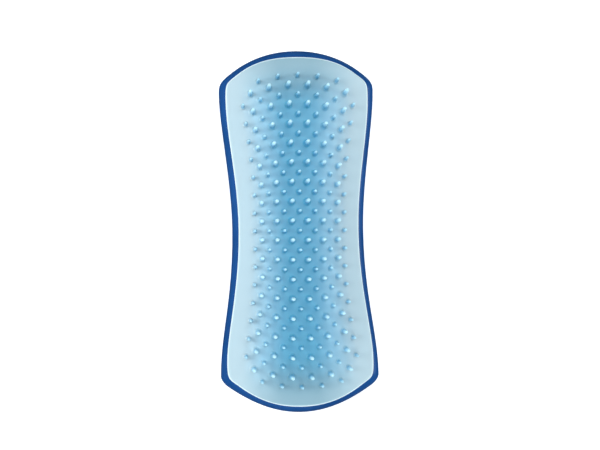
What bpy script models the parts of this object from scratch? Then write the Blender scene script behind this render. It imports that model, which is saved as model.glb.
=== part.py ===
"""Palm grooming brush for pets: an hourglass shell in two halves with a flexible toothed pad.

The brush lies on its back with the teeth up. X runs across it, Y along it and Z out of the teeth.
The origin is the middle of the flat on its back. Lengths are in metres.
"""

import math

import bmesh
import bpy
from mathutils import Matrix, Vector
from mathutils.geometry import interpolate_bezier

# Side view: heights above the flat of the back.
PARTING_Z = 0.0170
LIP_Z = 0.0266
PAD_EDGE_Z = 0.0272
PAD_THICKNESS = 0.0022
PAD_CROWN = 0.0022
FIT_GAP = 0.0003
LEDGE_Z = PAD_EDGE_Z - PAD_THICKNESS - FIT_GAP
LEDGE_THICKNESS = 0.0020

# Face view: one side of each outline, from the middle of one end round to the middle of the other.
# Each point is x, y, heading in degrees, reach of the curve before it and reach after it.
SHELL_EDGE = (
    (0.0000, 0.0750, 0, 0.000, 0.009),
    (0.0283, 0.0648, -40, 0.012, 0.004),
    (0.0321, 0.0580, -90, 0.003, 0.014),
    (0.0272, 0.0005, -90, 0.021, 0.028),
    (0.0327, -0.0598, -90, 0.017, 0.0016),
    (0.0296, -0.0642, -145, 0.0016, 0.011),
    (0.0000, -0.0750, -180, 0.011, 0.000),
)
PAD_EDGE = (
    (0.0000, 0.0718, 0, 0.000, 0.012),
    (0.0249, 0.0643, -38, 0.008, 0.0055),
    (0.0294, 0.0545, -90, 0.0065, 0.015),
    (0.0247, 0.0000, -90, 0.022, 0.024),
    (0.0301, -0.0540, -90, 0.012, 0.0070),
    (0.0256, -0.0635, -143, 0.0048, 0.010),
    (0.0000, -0.0724, -180, 0.010, 0.000),
)
STEPS_BETWEEN_POINTS = (6, 5, 8, 8, 4, 6)
BACK_FLAT_WIDTH_RATIO = 0.50
BACK_FLAT_LENGTH_RATIO = 0.70

# Walls. The back's turns are the steps of its quarter-round side, in degrees, outside and inside.
WALL = 0.0022
BACK_TURNS = (0, 12, 25, 38, 52, 68, 90)
BACK_INNER_TURNS = (0, 20, 38, 60, 90)
BACK_INNER_FLAT_RATIOS = (0.97, 0.985)

# Rim of the front frame: a straight wall that rounds over to the lip, with the rebate inside it.
RIM_WIDTH = 0.0027
RIM_STRAIGHT_HEIGHT = 0.0030
RIM_TURNS = (0, 15, 30, 45, 60, 75, 90)
LIP_INSET = 0.0022
LIP_BREAK = 0.0002

# Tongue of the front frame, its snap beads and the slots that they click into.
TONGUE_DEPTH = 0.0030
TONGUE_OUTER_INSET = 0.0029
TONGUE_INNER_INSET = 0.0042
WALL_INNER_INSET = 0.0034
LEDGE_ROOT_INSET = 0.0037
TONGUE_SHOULDER_HEIGHT = 0.0010
WALL_SHOULDER_HEIGHT = 0.0022
BEAD_DROP = 0.0016
BEAD_ROOT = 0.0006
BEAD_Y = (-0.045, 0.0, 0.042)
BEAD_LENGTH = 0.0080
BEAD_HEIGHT = 0.0014
BEAD_PROUD = 0.0010
SLOT_CLEARANCE = 0.0005

# Ledge, ribs and staked pegs that carry the pad.
LEDGE_INNER_INSET = 0.0074
RIB_Y = (-0.050, -0.025, 0.0, 0.025, 0.050)
RIB_WIDTH = 0.0016
RIB_DEPTH = 0.0040
RIB_BELOW_LEDGE = 0.0004
RIB_ROOT = 0.0015
SPINE_SHALLOWER = 0.0004
PEG_INSET = 0.0056
PEG_Y = (-0.054, -0.036, -0.012, 0.012, 0.036, 0.054)
PEG_RADIUS = 0.0010
PEG_HOLE_RADIUS = 0.0014
PEG_HOLE_SIDES = 8
CUT_PAST = 0.0010
PEG_HEAD_RADIUS = 0.0015
PEG_HEAD_HEIGHT = 0.0008
PEG_HEAD_STEP = 0.0001
PEG_HEAD_TAPER = 0.8

# Pad plate: shares of its outline where its rings lie, and the round of its edge.
PAD_RINGS = (1.0, 0.985, 0.93, 0.78, 0.58, 0.34, 0.12)
PAD_EDGE_ROUND = 0.0007

# Tooth field: rows of short and long teeth by turns, each row a shallow arc.
ROW_PITCH = 0.0080
SHORT_ROW_COUNT = 17
FIELD_CENTRE_X = 0.0002
FIELD_CENTRE_Y = -0.0002
COLUMN_PITCH = 0.00636
COLUMN_SPREAD = 0.0018
SPREAD_START_Y = 0.018
SPREAD_END_Y = 0.063
SPREAD_POWER = 1.3
OUTER_COLUMN_CLOSING = 0.035
ROW_BOW = 0.085
TOOTH_SIDES = 5
TOOTH_ROOT = 0.0010
LONG_TOOTH = {"height": 0.0150, "base": 0.00115, "tip": 0.00072, "round": 0.0006}
SHORT_TOOTH = {"height": 0.0112, "base": 0.00092, "tip": 0.00056, "round": 0.0}
TIP_ROUND_RATIO = 0.5


def clear_scene():
    for thing in list(bpy.data.objects):
        bpy.data.objects.remove(thing, do_unlink=True)


def plastic(name, colour, roughness):
    material = bpy.data.materials.new(name)
    material.use_nodes = True
    shader = material.node_tree.nodes["Principled BSDF"]
    shader.inputs["Base Color"].default_value = (*colour, 1.0)
    shader.inputs["Roughness"].default_value = roughness
    shader.inputs["Metallic"].default_value = 0.0
    material.diffuse_color = (*colour, 1.0)
    return material


def heading(degrees):
    angle = math.radians(degrees)
    return Vector((math.cos(angle), math.sin(angle)))


def closed_outline(anchors):
    """One side as joined curves, then the same points mirrored back up the other side."""
    side = []
    for start, end, steps in zip(anchors[:-1], anchors[1:], STEPS_BETWEEN_POINTS):
        from_point = Vector(start[:2])
        to_point = Vector(end[:2])
        handle_out = from_point + heading(start[2]) * start[4]
        handle_in = to_point - heading(end[2]) * end[3]
        side += interpolate_bezier(from_point, handle_out, handle_in, to_point, steps + 1)[:-1]
    side.append(Vector(anchors[-1][:2]))
    return side + [Vector((-point.x, point.y)) for point in reversed(side[1:-1])]


SHELL_OUTLINE = closed_outline(SHELL_EDGE)
PAD_OUTLINE = closed_outline(PAD_EDGE)


def between(first, second, share):
    return [a.lerp(b, share) for a, b in zip(first, second)]


def inset_outline(inset):
    """The shell's outline drawn in by a distance; its corners round off as it goes."""
    share = inset / RIM_WIDTH
    return [a + (b - a) * share for a, b in zip(SHELL_OUTLINE, PAD_OUTLINE)]


def scaled(outline, ratio_x, ratio_y):
    return [Vector((point.x * ratio_x, point.y * ratio_y)) for point in outline]


def edge_point(inset, y):
    """Where the outline at this inset crosses y on the +X side, and its outward direction."""
    outline = inset_outline(inset)
    for start, end in zip(outline[:-1], outline[1:]):
        if start.y >= y > end.y:
            point = start.lerp(end, (start.y - y) / (start.y - end.y))
            along = (end - start).normalized()
            return point, Vector((-along.y, along.x))
    raise ValueError("no edge at this y")


def finish(name, mesh, material):
    thing = bpy.data.objects.new(name, mesh)
    bpy.context.scene.collection.objects.link(thing)
    if material:
        mesh.materials.append(material)
    mesh.shade_smooth()
    mesh.set_sharp_from_angle(angle=math.radians(35))
    return thing


def loft(name, sections, material, ring_shaped=False):
    """Skin the sections, each an outline and a height; a ring-shaped solid joins last to first."""
    bm = bmesh.new()
    loops = [[bm.verts.new((p.x, p.y, z)) for p in outline] for outline, z in sections]
    pairs = list(zip(loops[:-1], loops[1:]))
    if ring_shaped:
        pairs.append((loops[-1], loops[0]))
    else:
        bm.faces.new(loops[0])
        bm.faces.new(loops[-1])
    for lower, upper in pairs:
        count = len(lower)
        for i in range(count):
            j = (i + 1) % count
            bm.faces.new((lower[i], lower[j], upper[j], upper[i]))
    bmesh.ops.recalc_face_normals(bm, faces=bm.faces)
    mesh = bpy.data.meshes.new(name)
    bm.to_mesh(mesh)
    bm.free()
    return finish(name, mesh, material)


def combine(target, tool, operation):
    """Boolean with a hidden tool object that stays in the file as a guide."""
    tool.hide_render = True
    tool.display_type = "WIRE"
    modifier = target.modifiers.new(tool.name, "BOOLEAN")
    modifier.operation = operation
    modifier.object = tool
    modifier.solver = "EXACT"


def boxes(name, placements):
    """Closed boxes in one tool object; each placement is a size and a matrix."""
    bm = bmesh.new()
    for size, matrix in placements:
        bmesh.ops.create_cube(bm, size=1.0, matrix=matrix @ Matrix.Diagonal((*size, 1.0)))
    mesh = bpy.data.meshes.new(name)
    bm.to_mesh(mesh)
    bm.free()
    return finish(name, mesh, None)


def turned(bm, x, y, profile, sides):
    """A turned peg or tooth with closed ends; the profile is radius and height, from the top down."""
    rings = []
    for radius, z in profile:
        ring = []
        for i in range(sides):
            angle = 2 * math.pi * i / sides
            ring.append(bm.verts.new((x + radius * math.cos(angle), y + radius * math.sin(angle), z)))
        rings.append(ring)
    bm.faces.new(rings[0])
    for upper, lower in zip(rings[:-1], rings[1:]):
        for i in range(sides):
            j = (i + 1) % sides
            bm.faces.new((upper[i], lower[i], lower[j], upper[j]))
    bm.faces.new(reversed(rings[-1]))


def dome_sections(edge, flat, edge_z, flat_z, turns):
    """Sections down a quarter-round side, from the parting edge to the flat of the back."""
    sections = []
    for turn in turns:
        angle = math.radians(turn)
        sections.append((between(edge, flat, 1 - math.cos(angle)),
                         edge_z + (flat_z - edge_z) * math.sin(angle)))
    return sections


def bead_placements(inset, length, depth, height, z):
    """Blocks across the outline at each bead, on both sides, reaching in from this inset."""
    placements = []
    for y in BEAD_Y:
        point, outward = edge_point(inset, y)
        centre = point - outward * depth / 2
        turn = math.atan2(outward.y, outward.x)
        for side in (1, -1):
            spin = Matrix.Rotation(turn if side == 1 else math.pi - turn, 4, "Z")
            place = Matrix.Translation((side * centre.x, centre.y, z))
            placements.append(((depth, length, height), place @ spin))
    return placements


BEAD_Z = PARTING_Z - BEAD_DROP
BEAD_OUTER_INSET = TONGUE_OUTER_INSET - BEAD_PROUD


def make_back_cover(material):
    flat = scaled(PAD_OUTLINE, BACK_FLAT_WIDTH_RATIO, BACK_FLAT_LENGTH_RATIO)
    inner_flat = scaled(flat, *BACK_INNER_FLAT_RATIOS)
    outer = dome_sections(inset_outline(0), flat, PARTING_Z, 0.0, BACK_TURNS)
    socket_z = PARTING_Z - TONGUE_DEPTH - FIT_GAP
    inner = [(inset_outline(WALL), PARTING_Z)]
    inner += dome_sections(inset_outline(WALL), inner_flat, socket_z, WALL, BACK_INNER_TURNS)
    cover = loft("back_cover", list(reversed(inner)) + outer, material)
    slot_inset = BEAD_OUTER_INSET - SLOT_CLEARANCE
    slots = bead_placements(slot_inset, BEAD_LENGTH + 2 * SLOT_CLEARANCE, WALL,
                            BEAD_HEIGHT + 2 * SLOT_CLEARANCE, BEAD_Z)
    combine(cover, boxes("snap_slot_cutters", slots), "DIFFERENCE")
    return cover


def peg_centres():
    centres = []
    for y in PEG_Y:
        point = edge_point(PEG_INSET, y)[0]
        centres += [(point.x, point.y), (-point.x, point.y)]
    return centres


def rim_wall(bottom_z):
    """Insets and heights up the outside of the rim, from the parting line to its rounded lip."""
    shoulder_z = bottom_z + RIM_STRAIGHT_HEIGHT
    wall = [(0.0, bottom_z)]
    for turn in RIM_TURNS:
        angle = math.radians(turn)
        wall.append((LIP_INSET * (1 - math.cos(angle)),
                     shoulder_z + (LIP_Z - shoulder_z) * math.sin(angle)))
    return wall


def make_front_frame(material):
    bottom_z = PARTING_Z + FIT_GAP
    tongue_z = PARTING_Z - TONGUE_DEPTH
    ledge_under_z = LEDGE_Z - LEDGE_THICKNESS
    rebate_inset = RIM_WIDTH - FIT_GAP
    profile = rim_wall(bottom_z) + [
        (rebate_inset, LIP_Z - LIP_BREAK),
        (rebate_inset, LEDGE_Z),
        (LEDGE_INNER_INSET, LEDGE_Z),
        (LEDGE_INNER_INSET, ledge_under_z),
        (LEDGE_ROOT_INSET, ledge_under_z),
        (WALL_INNER_INSET, PARTING_Z + WALL_SHOULDER_HEIGHT),
        (TONGUE_INNER_INSET, PARTING_Z + TONGUE_SHOULDER_HEIGHT),
        (TONGUE_INNER_INSET, tongue_z),
        (TONGUE_OUTER_INSET, tongue_z),
        (TONGUE_OUTER_INSET, bottom_z),
    ]
    sections = [(inset_outline(inset), z) for inset, z in profile]
    frame = loft("front_frame", sections, material, ring_shaped=True)

    beads = bead_placements(BEAD_OUTER_INSET, BEAD_LENGTH, BEAD_PROUD + BEAD_ROOT, BEAD_HEIGHT, BEAD_Z)
    combine(frame, boxes("snap_beads", beads), "UNION")

    rib_z = LEDGE_Z - RIB_BELOW_LEDGE - RIB_DEPTH / 2
    for number, y in enumerate(RIB_Y):
        reach = edge_point(LEDGE_INNER_INSET - RIB_ROOT, y)[0].x
        rib = ((2 * reach, RIB_WIDTH, RIB_DEPTH), Matrix.Translation((0, y, rib_z)))
        combine(frame, boxes(f"cross_rib_{number + 1}", [rib]), "UNION")
    ledge_ends = [point.y for point in inset_outline(LEDGE_INNER_INSET - RIB_ROOT)]
    spine_length = max(ledge_ends) - min(ledge_ends)
    spine_middle = (max(ledge_ends) + min(ledge_ends)) / 2
    spine = ((RIB_WIDTH, spine_length, RIB_DEPTH - SPINE_SHALLOWER),
             Matrix.Translation((0, spine_middle, rib_z)))
    combine(frame, boxes("spine_rib", [spine]), "UNION")

    hole = ((PEG_HOLE_RADIUS, LEDGE_Z + CUT_PAST), (PEG_HOLE_RADIUS, ledge_under_z - CUT_PAST))
    bm = bmesh.new()
    for x, y in peg_centres():
        turned(bm, x, y, hole, PEG_HOLE_SIDES)
    mesh = bpy.data.meshes.new("peg_holes")
    bm.to_mesh(mesh)
    bm.free()
    combine(frame, finish("peg_hole_cutters", mesh, None), "DIFFERENCE")
    return frame


def column_pitch(y):
    """Even in the waist, then wider towards both ends, as the pad is."""
    spread = max(0.0, abs(y) - SPREAD_START_Y) / (SPREAD_END_Y - SPREAD_START_Y)
    return COLUMN_PITCH + COLUMN_SPREAD * spread ** SPREAD_POWER


def tooth_row(row_y, columns):
    places = []
    for column in columns:
        closing = 1 - OUTER_COLUMN_CLOSING * (abs(column) / 3) ** 2
        bow = 1 - ROW_BOW * (column / 3) ** 2
        places.append((FIELD_CENTRE_X + column * column_pitch(row_y) * closing,
                       FIELD_CENTRE_Y + row_y * bow))
    return places


def tooth_places():
    """Centres of the short and of the long teeth."""
    half = SHORT_ROW_COUNT // 2
    short = []
    for row in range(-half, half + 1):
        last = 2 if abs(row) == half else 3
        short += tooth_row(row * ROW_PITCH, range(-last, last + 1))
    long = []
    for row in range(-half, half):
        long += tooth_row((row + 0.5) * ROW_PITCH, [column + 0.5 for column in range(-3, 3)])
    return short, long


def pad_height(x, y):
    """Top of the pad: crowned both ways and level all along its edge."""
    end_y = PAD_EDGE[0][1]
    if abs(y) >= end_y:
        return PAD_EDGE_Z
    across = min(1.0, abs(x) / edge_point(RIM_WIDTH, y)[0].x)
    along = y / end_y
    return PAD_EDGE_Z + PAD_CROWN * (1 - across * across) * (1 - along * along)


def pad_section(ratio, drop):
    """One ring of the crowned plate, at this share of the pad's outline."""
    return [Vector((p.x * ratio, p.y * ratio, pad_height(p.x * ratio, p.y * ratio) - drop))
            for p in PAD_OUTLINE]


def add_tooth(bm, x, y, tooth):
    base_z = pad_height(x, y)
    top_z = base_z + tooth["height"]
    profile = [(tooth["tip"], top_z - tooth["round"]), (tooth["base"], base_z - TOOTH_ROOT)]
    if tooth["round"]:
        profile.insert(0, (tooth["tip"] * TIP_ROUND_RATIO, top_z))
    turned(bm, x, y, profile, TOOTH_SIDES)


def add_peg(bm, x, y):
    head_z = LEDGE_Z - LEDGE_THICKNESS - FIT_GAP
    profile = (
        (PEG_RADIUS, PAD_EDGE_Z - PAD_THICKNESS / 2),
        (PEG_RADIUS, head_z),
        (PEG_HEAD_RADIUS, head_z - PEG_HEAD_STEP),
        (PEG_HEAD_RADIUS * PEG_HEAD_TAPER, head_z - PEG_HEAD_HEIGHT),
    )
    turned(bm, x, y, profile, TOOTH_SIDES)


def make_tooth_pad(material):
    bm = bmesh.new()
    rings = [pad_section(PAD_RINGS[0], PAD_EDGE_ROUND)]
    rings += [pad_section(share, 0.0) for share in PAD_RINGS[1:]]
    under = [pad_section(share, PAD_THICKNESS) for share in PAD_RINGS]
    loops = [[bm.verts.new(p) for p in ring] for ring in list(reversed(rings)) + under]
    for upper, lower in zip(loops[:-1], loops[1:]):
        count = len(upper)
        for i in range(count):
            j = (i + 1) % count
            bm.faces.new((upper[i], upper[j], lower[j], lower[i]))
    for loop, z_offset in ((loops[0], 0.0), (loops[-1], -PAD_THICKNESS)):
        centre = bm.verts.new((0, 0, pad_height(0, 0) + z_offset))
        for i, vert in enumerate(loop):
            bm.faces.new((vert, loop[(i + 1) % len(loop)], centre))
    bmesh.ops.recalc_face_normals(bm, faces=bm.faces)
    mesh = bpy.data.meshes.new("tooth_pad")
    bm.to_mesh(mesh)
    bm.free()
    pad = finish("tooth_pad", mesh, material)

    bm = bmesh.new()
    short, long = tooth_places()
    for places, tooth in ((short, SHORT_TOOTH), (long, LONG_TOOTH)):
        for x, y in places:
            add_tooth(bm, x, y, tooth)
    for x, y in peg_centres():
        add_peg(bm, x, y)
    bmesh.ops.recalc_face_normals(bm, faces=bm.faces)
    mesh = bpy.data.meshes.new("teeth_and_pegs")
    bm.to_mesh(mesh)
    bm.free()
    combine(pad, finish("teeth_and_pegs", mesh, None), "UNION")
    return pad


def main():
    clear_scene()
    shell_blue = plastic("shell_blue", (0.013, 0.075, 0.30), 0.18)
    pad_blue = plastic("pad_blue", (0.33, 0.62, 0.78), 0.45)
    make_back_cover(shell_blue)
    make_front_frame(shell_blue)
    make_tooth_pad(pad_blue)


main()
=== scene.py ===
import bpy
import math
from mathutils import Matrix, Vector


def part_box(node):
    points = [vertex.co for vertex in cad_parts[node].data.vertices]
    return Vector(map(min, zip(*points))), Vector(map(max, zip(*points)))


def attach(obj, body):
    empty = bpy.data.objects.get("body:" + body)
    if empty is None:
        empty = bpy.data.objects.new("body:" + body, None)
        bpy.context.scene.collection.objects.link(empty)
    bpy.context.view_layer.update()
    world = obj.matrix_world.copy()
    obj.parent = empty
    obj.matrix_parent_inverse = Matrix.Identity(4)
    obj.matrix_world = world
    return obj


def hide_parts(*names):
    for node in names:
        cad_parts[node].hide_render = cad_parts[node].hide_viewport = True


# Palm grooming brush, lying on its back with the teeth up. Metres, Y along the brush.
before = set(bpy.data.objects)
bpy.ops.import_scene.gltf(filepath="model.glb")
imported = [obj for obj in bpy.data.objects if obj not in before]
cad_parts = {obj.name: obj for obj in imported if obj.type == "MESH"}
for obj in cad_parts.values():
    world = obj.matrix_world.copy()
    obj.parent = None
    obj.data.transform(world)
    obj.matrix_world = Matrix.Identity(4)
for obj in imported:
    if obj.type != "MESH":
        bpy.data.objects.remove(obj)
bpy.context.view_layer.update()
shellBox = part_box("back_cover")
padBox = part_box("tooth_pad")
print("frame loaded:", sorted(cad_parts))

# One side of each outline, from one end round to the other:
# x, y, heading in degrees, reach of the curve before the point and after it.
outlines = {
    "shell": [
        (0.0000, 0.0750, 0, 0.000, 0.009),
        (0.0283, 0.0648, -40, 0.012, 0.004),
        (0.0321, 0.0580, -90, 0.003, 0.014),
        (0.0272, 0.0005, -90, 0.021, 0.028),
        (0.0327, -0.0598, -90, 0.017, 0.0016),
        (0.0296, -0.0642, -145, 0.0016, 0.011),
        (0.0000, -0.0750, -180, 0.011, 0.000),
    ],
    "pad": [
        (0.0000, 0.0718, 0, 0.000, 0.012),
        (0.0249, 0.0643, -38, 0.008, 0.0055),
        (0.0294, 0.0545, -90, 0.0065, 0.015),
        (0.0247, 0.0000, -90, 0.022, 0.024),
        (0.0301, -0.0540, -90, 0.012, 0.0070),
        (0.0256, -0.0635, -143, 0.0048, 0.010),
        (0.0000, -0.0724, -180, 0.010, 0.000),
    ],
    "rimWidth": 0.0027,  # from the shell's outline in to the pad's
    "steps": 12,         # points on each stretch of a curve
}


def selectNone():
    if bpy.context.object and bpy.context.object.mode != "OBJECT":
        bpy.ops.object.mode_set(mode="OBJECT")
    bpy.ops.object.select_all(action="DESELECT")


def selectOnly(piece):
    selectNone()
    piece.select_set(True)
    bpy.context.view_layer.objects.active = piece


def editMode():
    bpy.ops.object.mode_set(mode="EDIT")
    bpy.ops.mesh.select_mode(type="VERT")


def objectMode():
    bpy.ops.object.mode_set(mode="OBJECT")


def pickVertices(piece, chosen):
    # leaves edit mode open with just these vertices selected
    selectOnly(piece)
    editMode()
    bpy.ops.mesh.select_all(action="DESELECT")
    objectMode()
    for vertex in piece.data.vertices:
        vertex.select = chosen(vertex)
    editMode()


def shadeSmooth(piece, degrees=40):
    selectOnly(piece)
    bpy.ops.object.shade_smooth_by_angle(angle=math.radians(degrees))


def mixOutlines(first, second, share):
    return [tuple(a + (b - a) * share for a, b in zip(p, q)) for p, q in zip(first, second)]


def insetShell(inset):
    return mixOutlines(outlines["shell"], outlines["pad"], inset / outlines["rimWidth"])


def scaleOutline(side, ratioX, ratioY):
    reach = (ratioX + ratioY) / 2
    return [(x * ratioX, y * ratioY, turn, before * reach, after * reach)
            for x, y, turn, before, after in side]


def drawLoop(name, side, z):
    # a closed curve through one side's points and their mirror images, turned into edges
    selectNone()
    bpy.ops.curve.primitive_bezier_circle_add(radius=0.01, location=(0, 0, 0))
    loop = bpy.context.object
    loop.name = name
    loop.data.dimensions = "3D"
    loop.data.resolution_u = outlines["steps"]
    points = loop.data.splines[0].bezier_points
    points.add(2 * len(side) - 2 - len(points))
    knots = []
    for x, y, turn, before, after in side:
        along = Vector((math.cos(math.radians(turn)), math.sin(math.radians(turn)), 0))
        spot = Vector((x, y, z))
        knots.append([spot, spot - along * before, spot + along * after])
    flip = Matrix.Diagonal((-1, 1, 1))
    knots += [[flip @ spot, flip @ after, flip @ before] for spot, before, after in reversed(knots[1:-1])]
    last = len(side) - 1
    knots[0][1] = flip @ knots[0][2]
    knots[last][2] = flip @ knots[last][1]
    for point, (spot, before, after) in zip(points, knots):
        point.handle_left_type = "FREE"
        point.handle_right_type = "FREE"
        point.co = spot
        point.handle_left = before
        point.handle_right = after
    bpy.ops.object.convert(target="MESH")
    return bpy.context.object


def drawRing(piece, ring, side, z):
    # draws the last ring out to the next outline, each point to its own place there
    pickVertices(piece, lambda vertex: vertex.index in ring)
    bpy.ops.mesh.extrude_region_move()
    objectMode()
    target = drawLoop("target", side, z)
    spots = [vertex.co.copy() for vertex in target.data.vertices]
    bpy.data.objects.remove(target)
    order = {tuple(piece.data.vertices[index].co): place for place, index in enumerate(ring)}
    drawn = [0] * len(ring)
    for vertex in list(piece.data.vertices)[-len(ring):]:
        place = order[tuple(vertex.co)]
        drawn[place] = vertex.index
        vertex.co = spots[place]
    return drawn


def fillRing(piece, ring):
    # closes an open ring and gives it a middle point
    pickVertices(piece, lambda vertex: vertex.index in ring)
    bpy.ops.mesh.edge_face_add()
    bpy.ops.mesh.poke()
    objectMode()


def loft(name, sections, joined=False):
    # skins outlines at their heights, one to the next; its ends are filled or joined to each other
    piece = drawLoop(name, *sections[0])
    firstRing = list(range(len(piece.data.vertices)))
    ring = firstRing
    for side, z in sections[1:] + (sections[:1] if joined else []):
        ring = drawRing(piece, ring, side, z)
    if not joined:
        fillRing(piece, firstRing)
        fillRing(piece, ring)
    piece.name = name
    piece.data.name = name
    return piece


def faceOutwards(piece):
    selectOnly(piece)
    editMode()
    bpy.ops.mesh.select_all(action="SELECT")
    bpy.ops.mesh.remove_doubles(threshold=1e-6)
    bpy.ops.mesh.normals_make_consistent(inside=False)
    objectMode()


class Socket:
    # wraps a node's output so that shader maths reads as arithmetic
    def __init__(self, tree, link):
        self.tree = tree
        self.link = link

    def node(self, kind, output=0, settings=None, **values):
        made = self.tree.nodes.new(kind)
        for name, value in (settings or {}).items():
            setattr(made, name, value)
        for name, value in values.items():
            place = int(name[1:]) if name[0] == "i" and name[1:].isdigit() else name
            socket = made.inputs[place]
            if isinstance(value, Socket):
                self.tree.links.new(value.link, socket)
            else:
                socket.default_value = value
        return Socket(self.tree, made.outputs[output])

    def maths(self, operation, *others):
        sides = {"i%d" % place: side for place, side in enumerate((self, *others))}
        return self.node("ShaderNodeMath", settings={"operation": operation}, **sides)

    def __add__(self, other):
        return self.maths("ADD", other)

    def __sub__(self, other):
        return self.maths("SUBTRACT", other)

    def __rsub__(self, other):
        return self.node("ShaderNodeMath", settings={"operation": "SUBTRACT"}, i0=other, i1=self)

    def __mul__(self, other):
        return self.maths("MULTIPLY", other)

    def __truediv__(self, other):
        return self.maths("DIVIDE", other)

    def step(self, low, high):
        # 0 below low, 1 above high, smooth between
        return self.node("ShaderNodeMapRange", settings={"interpolation_type": "SMOOTHSTEP"},
                         i0=self, i1=low, i2=high)

    def mixColours(self, first, second):
        return self.node("ShaderNodeMix", output=2, settings={"data_type": "RGBA"},
                         i0=self, i6=first, i7=second)


def newMaterial(name):
    material = bpy.data.materials.new(name)
    material.use_nodes = True
    tree = material.node_tree
    shader = tree.nodes["Principled BSDF"]
    start = Socket(tree, tree.nodes.new("ShaderNodeTexCoord").outputs["Object"])
    return material, shader, start


def noise(place, scale, detail=2.0, rough=0.5):
    return place.node("ShaderNodeTexNoise", Vector=place, Scale=scale, Detail=detail, Roughness=rough)


def feed(shader, name, value):
    shader.id_data.links.new(value.link, shader.inputs[name])


# Gloss plastic of both halves of the shell.
shellFinish = {
    "blue": (0.006, 0.068, 0.250, 1),
    "deepBlue": (0.004, 0.056, 0.210, 1),
    "cloudScale": 38,        # noise scales are for metres: cells of about one over the scale
    "cloudSpan": (0.35, 0.70),
    "roughness": 0.30,
    "smearScale": 120,
    "smearSpan": (0.3, 0.8),
    "smearRoughness": 0.07,
    "fineScale": 1500,
    "fineRoughness": 0.03,
    "waveScale": 420,        # the mould's faint waviness, its height and how much of it shows
    "waveHeight": 0.00002,
    "waveStrength": 0.35,
    "specular": 0.22,
}


def makeShellPlastic():
    material, shader, place = newMaterial("shellPlastic")
    cloud = noise(place, shellFinish["cloudScale"], 3).step(*shellFinish["cloudSpan"])
    feed(shader, "Base Color", cloud.mixColours(shellFinish["blue"], shellFinish["deepBlue"]))
    smear = noise(place, shellFinish["smearScale"], 4, 0.6).step(*shellFinish["smearSpan"])
    fine = noise(place, shellFinish["fineScale"], 2) * shellFinish["fineRoughness"]
    lowest = shellFinish["roughness"] - shellFinish["fineRoughness"]
    feed(shader, "Roughness", smear * shellFinish["smearRoughness"] + fine + lowest)
    wave = noise(place, shellFinish["waveScale"], 2)
    bump = place.node("ShaderNodeBump", Strength=shellFinish["waveStrength"],
                      Distance=shellFinish["waveHeight"], Height=wave)
    feed(shader, "Normal", bump)
    shader.inputs["Specular IOR Level"].default_value = shellFinish["specular"]
    return material


# Heights of the pad above the flat of the back, and the shares of its outline where its rings lie.
padPlate = {
    "edgeZ": 0.0272,
    "thickness": 0.0022,
    "crown": 0.0022,
    "edgeRound": 0.0008,
    "rings": (0.955, 0.90, 0.82, 0.72, 0.60, 0.47, 0.33, 0.18, 0.06),
    "underRings": (0.1, 0.4, 0.7, 0.9, 1),
    "edgeTurns": range(0, 91, 15),
}

# The pad's colours paint light and shade: the middle is darker with the painted shade of the teeth, the
# shoulder less so, and the margin paler with the painted light of the side lamps on the crowned edge.
padFinish = {
    "paintedLitMargin": (0.45, 0.59, 0.655, 1),
    "shoulder": (0.365, 0.63, 0.765, 1),   # where the outer columns of teeth stand; less painted shade than the middle
    "middle": (0.130, 0.455, 0.635, 1),
    "ends": (0.235, 0.388, 0.465, 1),      # the middle and the shoulder are greyer at the two ends
    "shoulderEnds": (0.335, 0.48, 0.55, 1),
    # painted light on the tops of the teeth
    "tip": (0.46, 0.75, 0.89, 1),
    "toothShade": (0.085, 0.37, 0.60, 1),   # painted shade: the sides of a tooth are made deeper than the plate
    "toothShadeShare": 0.62,
    "toothShadeFrom": 0.0004,      # heights above the plate between which a tooth takes its painted shade
    "toothShadeTo": 0.0032,
    "edge": (0.74, 0.90, 0.96, 1),   # painted highlight: the thin round edge is made paler, as if it gathers the light
    "tipLightFade": 0.0135,       # the teeth take the painted light of the tip colour over this height
    "waist": 0.0247,         # half width of the pad at its middle, and how it widens with distance squared
    "widening": 1.75,
    "paintedShadeFadeSpan": (0.20, 0.60),   # shares of the half width over which one colour turns into the next
    "paintedLitMarginSpan": (0.50, 0.85),
    "endSpan": (0.049, 0.070),      # distances along the brush
    "edgeHighlightFrom": 0.02695,     # heights between which the edge's painted highlight fades out
    "edgeHighlightTo": 0.02725,
    "cloudScale": 60,
    "cloudShift": 0.06,             # how far the cloud moves the colours across
    "cloudRoughness": 0.08,
    "roughness": 0.44,
    "grainScale": 5200,             # the spark-eroded grain, its height and how much of it shows
    "grainRoughness": 0.06,
    "grainHeight": 0.00003,
    "grainStrength": 0.3,
    "scatter": 0.15,
    "scatterRadius": (1.0, 1.0, 1.0),
    "scatterScale": 0.002,
    "ior": 1.5,
}


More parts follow.
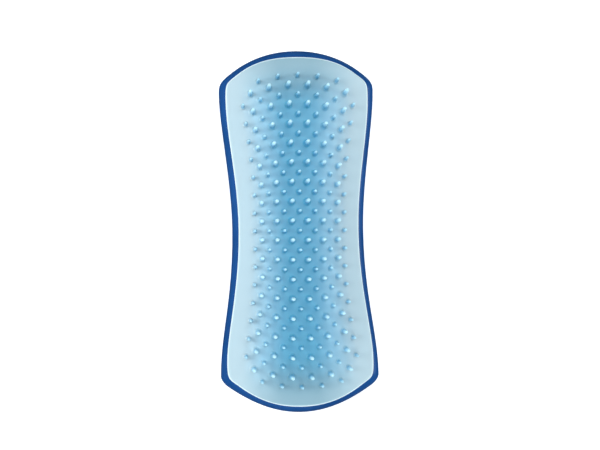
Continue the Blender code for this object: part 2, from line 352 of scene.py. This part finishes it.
def makePadElastomer(name, toothed):
    material, shader, place = newMaterial(name)
    axes = place.tree.nodes.new("ShaderNodeSeparateXYZ")
    place.tree.links.new(place.link, axes.inputs[0])
    x, y, z = (Socket(place.tree, axes.outputs[n]) for n in range(3))
    cloud = noise(place, padFinish["cloudScale"], 3)
    halfWidth = y * y * padFinish["widening"] + padFinish["waist"]
    across = x.maths("ABSOLUTE") / halfWidth + cloud * padFinish["cloudShift"]
    ends = y.maths("ABSOLUTE").step(*padFinish["endSpan"])
    middle = ends.mixColours(padFinish["middle"], padFinish["ends"])
    shoulder = ends.mixColours(padFinish["shoulder"], padFinish["shoulderEnds"])
    # painted shade in the middle of the plate, turning to painted light at its margins
    colour = across.step(*padFinish["paintedShadeFadeSpan"]).mixColours(middle, shoulder)
    colour = across.step(*padFinish["paintedLitMarginSpan"]).mixColours(colour, padFinish["paintedLitMargin"])
    # painted highlight along the pad's round edge
    edge = z.step(padFinish["edgeHighlightFrom"], padFinish["edgeHighlightTo"])
    colour = edge.mixColours(padFinish["edge"], colour)
    if toothed:
        reach = y / outlines["pad"][0][1]
        surface = (1 - across * across) * (1 - reach * reach) * padPlate["crown"] + padPlate["edgeZ"]
        # painted shade on the sides of the teeth, up from their feet
        body = (z - surface).step(padFinish["toothShadeFrom"], padFinish["toothShadeTo"]) * padFinish["toothShadeShare"]
        colour = body.mixColours(colour, padFinish["toothShade"])
        # painted light: the teeth grow paler towards their tips
        height = z.step(padBox[1].z - padFinish["tipLightFade"], padBox[1].z)
        colour = height.mixColours(colour, padFinish["tip"])
    feed(shader, "Base Color", colour)
    grain = noise(place, padFinish["grainScale"], 2)
    spread = grain * padFinish["grainRoughness"] + cloud * padFinish["cloudRoughness"]
    middleSpread = (padFinish["grainRoughness"] + padFinish["cloudRoughness"]) / 2
    feed(shader, "Roughness", spread + (padFinish["roughness"] - middleSpread))
    bump = place.node("ShaderNodeBump", Strength=padFinish["grainStrength"],
                      Distance=padFinish["grainHeight"], Height=grain)
    feed(shader, "Normal", bump)
    shader.inputs["Subsurface Weight"].default_value = padFinish["scatter"]
    shader.inputs["Subsurface Radius"].default_value = padFinish["scatterRadius"]
    shader.inputs["Subsurface Scale"].default_value = padFinish["scatterScale"]
    shader.inputs["IOR"].default_value = padFinish["ior"]
    return material


shellPlastic = makeShellPlastic()
padElastomer = makePadElastomer("padElastomer", False)
toothElastomer = makePadElastomer("toothElastomer", True)
print("materials made")


backShell = {
    "flatWidth": 0.50,       # the flat of the back, as a share of the pad's width and length
    "flatLength": 0.70,
    "wall": 0.0022,
    "edgeRound": 0.00025,    # broken edge along the parting line
    "edgeShare": 0.3,        # share of that round where its outer side has its extra point
    "turns": range(0, 91, 5),      # degrees round the dome, outside and inside
    "innerTurns": range(0, 91, 15),
    "socketDepth": 0.0033,
}


def domeSections(edge, flat, edgeZ, flatZ, turns):
    sections = []
    for turn in turns:
        angle = math.radians(turn)
        sections.append((mixOutlines(edge, flat, 1 - math.cos(angle)),
                         edgeZ + (flatZ - edgeZ) * math.sin(angle)))
    return sections


def makeBackShell():
    edgeZ = shellBox[1].z
    softEdge = backShell["edgeRound"]
    share = backShell["edgeShare"]
    wall = backShell["wall"]
    flat = scaleOutline(outlines["pad"], backShell["flatWidth"], backShell["flatLength"])
    outer = domeSections(insetShell(0), flat, edgeZ - softEdge, 0.0, backShell["turns"])
    inner = domeSections(insetShell(wall), flat, edgeZ - backShell["socketDepth"], wall,
                         backShell["innerTurns"])
    lip = [(insetShell(wall), edgeZ - softEdge), (insetShell(wall - softEdge), edgeZ),
           (insetShell(softEdge), edgeZ), (insetShell(softEdge * share), edgeZ - softEdge * share)]
    piece = loft("backShell", inner[::-1] + lip + outer)
    faceOutwards(piece)
    shadeSmooth(piece)
    piece.data.materials.append(shellPlastic)
    return piece


backShellPiece = makeBackShell()
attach(backShellPiece, "root")
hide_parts("back_cover")
print("back shell made")


frontRim = {
    "bottom": 0.0173,        # heights above the flat of the back
    "lip": 0.0266,
    "ledge": 0.0247,
    "shoulder": 0.0030,      # height of the straight wall, above it the rim rounds over to its lip
    "rebateInset": 0.00268,
    "lipTurn": 66,           # degrees of the round that are left when it meets the pad
    "wallSteps": 14,
    "ledgeThickness": 0.0020,
    "ledgeInset": 0.0074,
    "ledgeRoot": 0.0037,     # inset of the inner wall where it meets the ledge
    "innerWall": 0.0034,
    "innerWallFoot": 0.0019,      # heights over the bottom where the inner wall starts to thicken
    "tongueShoulder": 0.0007,
    "tongue": (0.0029, 0.0042, 0.0030),   # outer inset, inner inset, depth below the parting line
    "brokenEdge": [(0.00025, 0.0), (0.00008, 0.0001), (0.0, 0.0003)],   # insets and heights over the bottom
}


def makeRim():
    lipZ = frontRim["lip"]
    bottomZ = frontRim["bottom"]
    ledgeZ = frontRim["ledge"]
    underZ = ledgeZ - frontRim["ledgeThickness"]
    tongueOuter, tongueInner, tongueDepth = frontRim["tongue"]
    tongueZ = shellBox[1].z - tongueDepth
    shoulderZ = bottomZ + frontRim["shoulder"]
    rebate = frontRim["rebateInset"]
    profile = [(inset, bottomZ + height) for inset, height in frontRim["brokenEdge"]]
    lipAngle = math.radians(frontRim["lipTurn"])
    for step in range(frontRim["wallSteps"] + 1):
        angle = lipAngle * step / frontRim["wallSteps"]
        profile.append((rebate * (1 - math.cos(angle)) / (1 - math.cos(lipAngle)),
                        shoulderZ + (lipZ - shoulderZ) * math.sin(angle) / math.sin(lipAngle)))
    profile += [
        (rebate, ledgeZ),
        (frontRim["ledgeInset"], ledgeZ), (frontRim["ledgeInset"], underZ),
        (frontRim["ledgeRoot"], underZ), (frontRim["innerWall"], bottomZ + frontRim["innerWallFoot"]),
        (tongueInner, bottomZ + frontRim["tongueShoulder"]),
        (tongueInner, tongueZ), (tongueOuter, tongueZ), (tongueOuter, bottomZ),
    ]
    piece = loft("frontRim", [(insetShell(inset), z) for inset, z in profile], joined=True)
    faceOutwards(piece)
    shadeSmooth(piece)
    piece.data.materials.append(shellPlastic)
    return piece


frontRimPiece = makeRim()
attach(frontRimPiece, "root")
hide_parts("front_frame")
print("front rim made")


def makeOutlineTable():
    # half widths of the pad's outline at heights along it, read off the drawn curve
    loop = drawLoop("padMeasure", outlines["pad"], 0)
    spots = sorted((v.co.y, v.co.x) for v in loop.data.vertices if v.co.x >= -1e-7)
    bpy.data.objects.remove(loop)
    return spots


padEdgeSpots = makeOutlineTable()


def padHalfWidth(y):
    for (lowY, lowX), (highY, highX) in zip(padEdgeSpots, padEdgeSpots[1:]):
        if lowY <= y <= highY:
            return lowX + (highX - lowX) * (y - lowY) / max(highY - lowY, 1e-9)
    return 0.0


def crown(x, y):
    # height of the pad's surface above its edge
    endY = outlines["pad"][0][1]
    halfWidth = padHalfWidth(y)
    if halfWidth <= 1e-6 or abs(y) >= endY:
        return 0.0
    across = min(1.0, abs(x) / halfWidth)
    return padPlate["crown"] * (1 - across ** 2) * (1 - (y / endY) ** 2)


def makePadPlate():
    edgeZ = padPlate["edgeZ"]
    underZ = edgeZ - padPlate["thickness"]
    roundness = padPlate["edgeRound"]
    sections = [(scaleOutline(outlines["pad"], ratio, ratio), underZ) for ratio in padPlate["underRings"]]
    for turn in padPlate["edgeTurns"]:
        angle = math.radians(turn)
        inset = outlines["rimWidth"] + roundness * (1 - math.cos(angle))
        sections.append((insetShell(inset), edgeZ - roundness + roundness * math.sin(angle)))
    sections += [(scaleOutline(outlines["pad"], ratio, ratio), edgeZ) for ratio in padPlate["rings"]]
    piece = loft("padPlate", sections)
    for vertex in piece.data.vertices:
        vertex.co.z += crown(vertex.co.x, vertex.co.y)
    faceOutwards(piece)
    shadeSmooth(piece)
    piece.data.materials.append(padElastomer)
    return piece


padPlatePiece = makePadPlate()
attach(padPlatePiece, "root")
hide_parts("tooth_pad")
print("pad plate made")


# Rows of short and long teeth by turns, each row a shallow arc.
toothField = {
    "rowPitch": 0.0080,
    "shortRows": 17,
    "centreX": 0.0002,
    "centreY": -0.0002,
    "columnPitch": 0.00636,
    "columnSpread": 0.0018,
    "spreadStart": 0.018,
    "spreadEnd": 0.063,
    "spreadPower": 1.3,
    "outerColumn": 3,        # columns counted from the middle one
    "outerClosing": 0.035,
    "bow": 0.085,
    "sides": 10,
    "smoothAngle": 75,
    "footHeight": 0.0001,    # vertices below this height over the pad belong to a foot
    "footSink": 0.00002,     # and go this far into it
}
toothProfile = {
    "foot": [(0.32, 0.22), (0.02, 1.05)],                 # shares of the flare past the base, and up
    "tip": [(1.04, 1.15), (0.88, 0.52), (0.50, 0.12)],    # shares of the tip's radius out, and down
}
longTooth = {"name": "longTeeth", "height": 0.0150, "base": 0.00100, "tip": 0.00068, "flare": 0.0009}
shortTooth = {"name": "shortTeeth", "height": 0.0112, "base": 0.00080, "tip": 0.00052, "flare": 0.0007}


def columnPitch(y):
    start = toothField["spreadStart"]
    spread = max(0.0, abs(y) - start) / (toothField["spreadEnd"] - start)
    return toothField["columnPitch"] + toothField["columnSpread"] * spread ** toothField["spreadPower"]


def toothRow(rowY, columns):
    spots = []
    for column in columns:
        out = column / toothField["outerColumn"]
        closing = 1 - toothField["outerClosing"] * out ** 2
        bow = 1 - toothField["bow"] * out ** 2
        spots.append((toothField["centreX"] + column * columnPitch(rowY) * closing,
                      toothField["centreY"] + rowY * bow))
    return spots


def toothSpots():
    half = toothField["shortRows"] // 2
    outer = toothField["outerColumn"]
    short = []
    for row in range(-half, half + 1):
        last = outer - 1 if abs(row) == half else outer
        short += toothRow(row * toothField["rowPitch"], range(-last, last + 1))
    long = []
    for row in range(-half, half):
        long += toothRow((row + 0.5) * toothField["rowPitch"], [c + 0.5 for c in range(-outer, outer)])
    return short, long


def makeTooth(tooth):
    # a ring at the foot, drawn up and narrowed stretch by stretch to a rounded tip
    base = tooth["base"]
    tip = tooth["tip"]
    height = tooth["height"]
    flare = tooth["flare"]
    stretches = [(base + flare * out, flare * up) for out, up in toothProfile["foot"]]
    stretches += [(tip * out, height - tip * down) for out, down in toothProfile["tip"]]
    selectNone()
    bpy.ops.mesh.primitive_circle_add(vertices=toothField["sides"], radius=base + flare, location=(0, 0, 0))
    piece = bpy.context.object
    editMode()
    bpy.ops.mesh.select_all(action="SELECT")
    radius = base + flare
    level = 0.0
    for nextRadius, nextLevel in stretches:
        ratio = nextRadius / radius
        bpy.ops.mesh.extrude_region_move(TRANSFORM_OT_translate={"value": (0, 0, nextLevel - level)})
        bpy.ops.transform.resize(value=(ratio, ratio, 1))
        radius = nextRadius
        level = nextLevel
    bpy.ops.mesh.edge_face_add()
    bpy.ops.mesh.poke()
    bpy.ops.mesh.select_all(action="SELECT")
    bpy.ops.mesh.normals_make_consistent(inside=False)
    objectMode()
    return piece


def makeTeeth(tooth, spots):
    model = makeTooth(tooth)
    copies = []
    for x, y in spots:
        copy = model.copy()
        copy.data = model.data.copy()
        bpy.context.scene.collection.objects.link(copy)
        copy.location = (x, y, padPlate["edgeZ"] + crown(x, y))
        copies.append(copy)
    bpy.data.objects.remove(model)
    selectOnly(copies[0])
    for copy in copies:
        copy.select_set(True)
    bpy.ops.object.join()
    bpy.ops.object.transform_apply(location=True, rotation=True, scale=True)
    piece = bpy.context.object
    piece.name = tooth["name"]
    piece.data.name = tooth["name"]
    for vertex in piece.data.vertices:   # each foot follows the crown of the pad
        surface = padPlate["edgeZ"] + crown(vertex.co.x, vertex.co.y)
        if vertex.co.z < surface + toothField["footHeight"]:
            vertex.co.z = surface - toothField["footSink"]
    shadeSmooth(piece, toothField["smoothAngle"])
    piece.data.materials.append(toothElastomer)
    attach(piece, "root")
    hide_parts("tooth_pad")
    return piece


shortSpots, longSpots = toothSpots()
makeTeeth(shortTooth, shortSpots)
makeTeeth(longTooth, longSpots)
print("teeth made:", len(shortSpots), "short and", len(longSpots), "long")


floorLook = {"size": 6.0, "height": -0.0001, "colour": (0.85, 0.86, 0.87, 1), "roughness": 0.9, "glow": 0.55}
selectNone()
bpy.ops.mesh.primitive_plane_add(size=floorLook["size"], location=(0, 0, floorLook["height"]))
floor = bpy.context.object
floor.name = "floor"
floorPaint, floorShader, _ = newMaterial("floorPaint")
floorShader.inputs["Base Color"].default_value = floorLook["colour"]
floorShader.inputs["Roughness"].default_value = floorLook["roughness"]
floorShader.inputs["Emission Color"].default_value = (1, 1, 1, 1)
floorShader.inputs["Emission Strength"].default_value = floorLook["glow"]
floor.data.materials.append(floorPaint)
floor.visible_glossy = False   # the gloss of the shell shows the dark studio and not the white floor

lights = [
    # name, position, aimed at, width, height, power
    ("leftSoftbox", (-0.62, 0.08, 0.52), (0, 0, 0.03), 0.5, 0.6, 4.5),
    ("rightSoftbox", (0.75, 0.0, 0.26), (0, 0, 0.03), 0.5, 0.7, 3.2),
    ("footSoftbox", (0.0, -0.80, 0.30), (0, 0, 0.03), 0.7, 0.4, 2.4),
    ("topSoftbox", (0.10, 0.20, 1.2), (0, 0, 0.03), 0.3, 0.3, 3.2),
]
for name, spot, target, width, height, power in lights:
    lamp = bpy.data.lights.new(name, "AREA")
    lamp.shape = "RECTANGLE"
    lamp.size = width
    lamp.size_y = height
    lamp.energy = power
    holder = bpy.data.objects.new(name, lamp)
    bpy.context.scene.collection.objects.link(holder)
    holder.location = spot
    holder.rotation_euler = (Vector(target) - Vector(spot)).to_track_quat("-Z", "Y").to_euler()

studio = {"strength": 0.70, "light": (0.84, 0.95, 1, 1), "darkBelow": 0.15, "lightAbove": 0.85}
world = bpy.data.worlds.new("studio")
bpy.context.scene.world = world
world.use_nodes = True
worldTree = world.node_tree
backdrop = worldTree.nodes["Background"]
backdrop.inputs["Strength"].default_value = studio["strength"]
skyPlace = Socket(worldTree, worldTree.nodes.new("ShaderNodeTexCoord").outputs["Generated"])
skyAxes = worldTree.nodes.new("ShaderNodeSeparateXYZ")
worldTree.links.new(skyPlace.link, skyAxes.inputs[0])
rise = Socket(worldTree, skyAxes.outputs[2]).step(studio["darkBelow"], studio["lightAbove"])
worldTree.links.new(rise.mixColours((0, 0, 0, 1), studio["light"]).link, backdrop.inputs["Color"])

view = {
    "eye": (-0.0370, -0.0220, 0.745),
    "aim": (0.0011, 0.0026, 0.017),
    "roll": 0.83,            # degrees, the brush leans a little in the picture
    "lens": 104.8,
}
cameraData = bpy.data.cameras.new("camera")
cameraData.lens = view["lens"]
cameraData.sensor_width = 36
camera = bpy.data.objects.new("camera", cameraData)
bpy.context.scene.collection.objects.link(camera)
away = (Vector(view["eye"]) - Vector(view["aim"])).normalized()
up = Matrix.Rotation(math.radians(-view["roll"]), 3, "Z") @ Vector((0, 1, 0))
right = up.cross(away).normalized()
up = away.cross(right)
camera.matrix_world = Matrix.Translation(view["eye"]) @ Matrix((right, up, away)).transposed().to_4x4()
bpy.context.scene.camera = camera
bpy.context.scene.view_settings.view_transform = "Standard"
